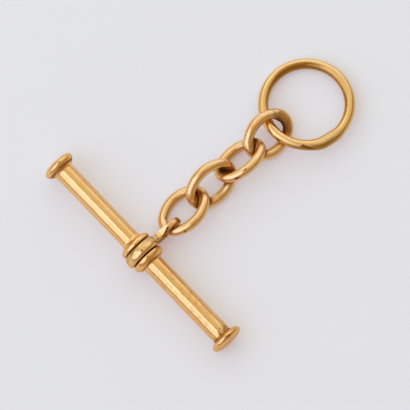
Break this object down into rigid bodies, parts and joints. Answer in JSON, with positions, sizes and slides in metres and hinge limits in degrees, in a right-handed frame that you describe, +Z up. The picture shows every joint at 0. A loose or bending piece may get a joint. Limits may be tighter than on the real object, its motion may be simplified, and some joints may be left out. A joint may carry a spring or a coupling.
{
  "type": "t-bar pendant",
  "caption": "Gold toggle bar with button ends and two collars, turning in a band with an eye, on a short run of interlocked oval links with a plain round hanging ring.",
  "frame": {"origin": "middle of the outline on the surface that the pendant lies on", "axes": "+X along the toggle bar towards its right cap, +Y from the bar along the chain to the ring, +Z up from the surface"},
  "size_m": [0.0316, 0.0366, 0.0049],
  "materials": {
    "bar_gold": "satin worn yellow gold",
    "swivel_gold": "worn yellow gold, slightly greener",
    "link_gold": "polished gold with wear, slightly rosy",
    "ring_gold": "polished deep yellow gold"
  },
  "bodies": {
    "chain": {"swivel": "swivel_gold", "link_1": "link_gold", "link_2": "link_gold", "link_3": "link_gold", "link_4": "link_gold", "ring": "ring_gold"},
    "bar": {"t_bar": "bar_gold"}
  },
  "joints": [
    {"name": "bar_spin", "type": "hinge", "parent": "chain", "child": "bar", "pos_m": [0.00016, -0.01586, 0.00243], "axis": [0.9998, 0, -0.0219], "continuous": true}
  ]
}
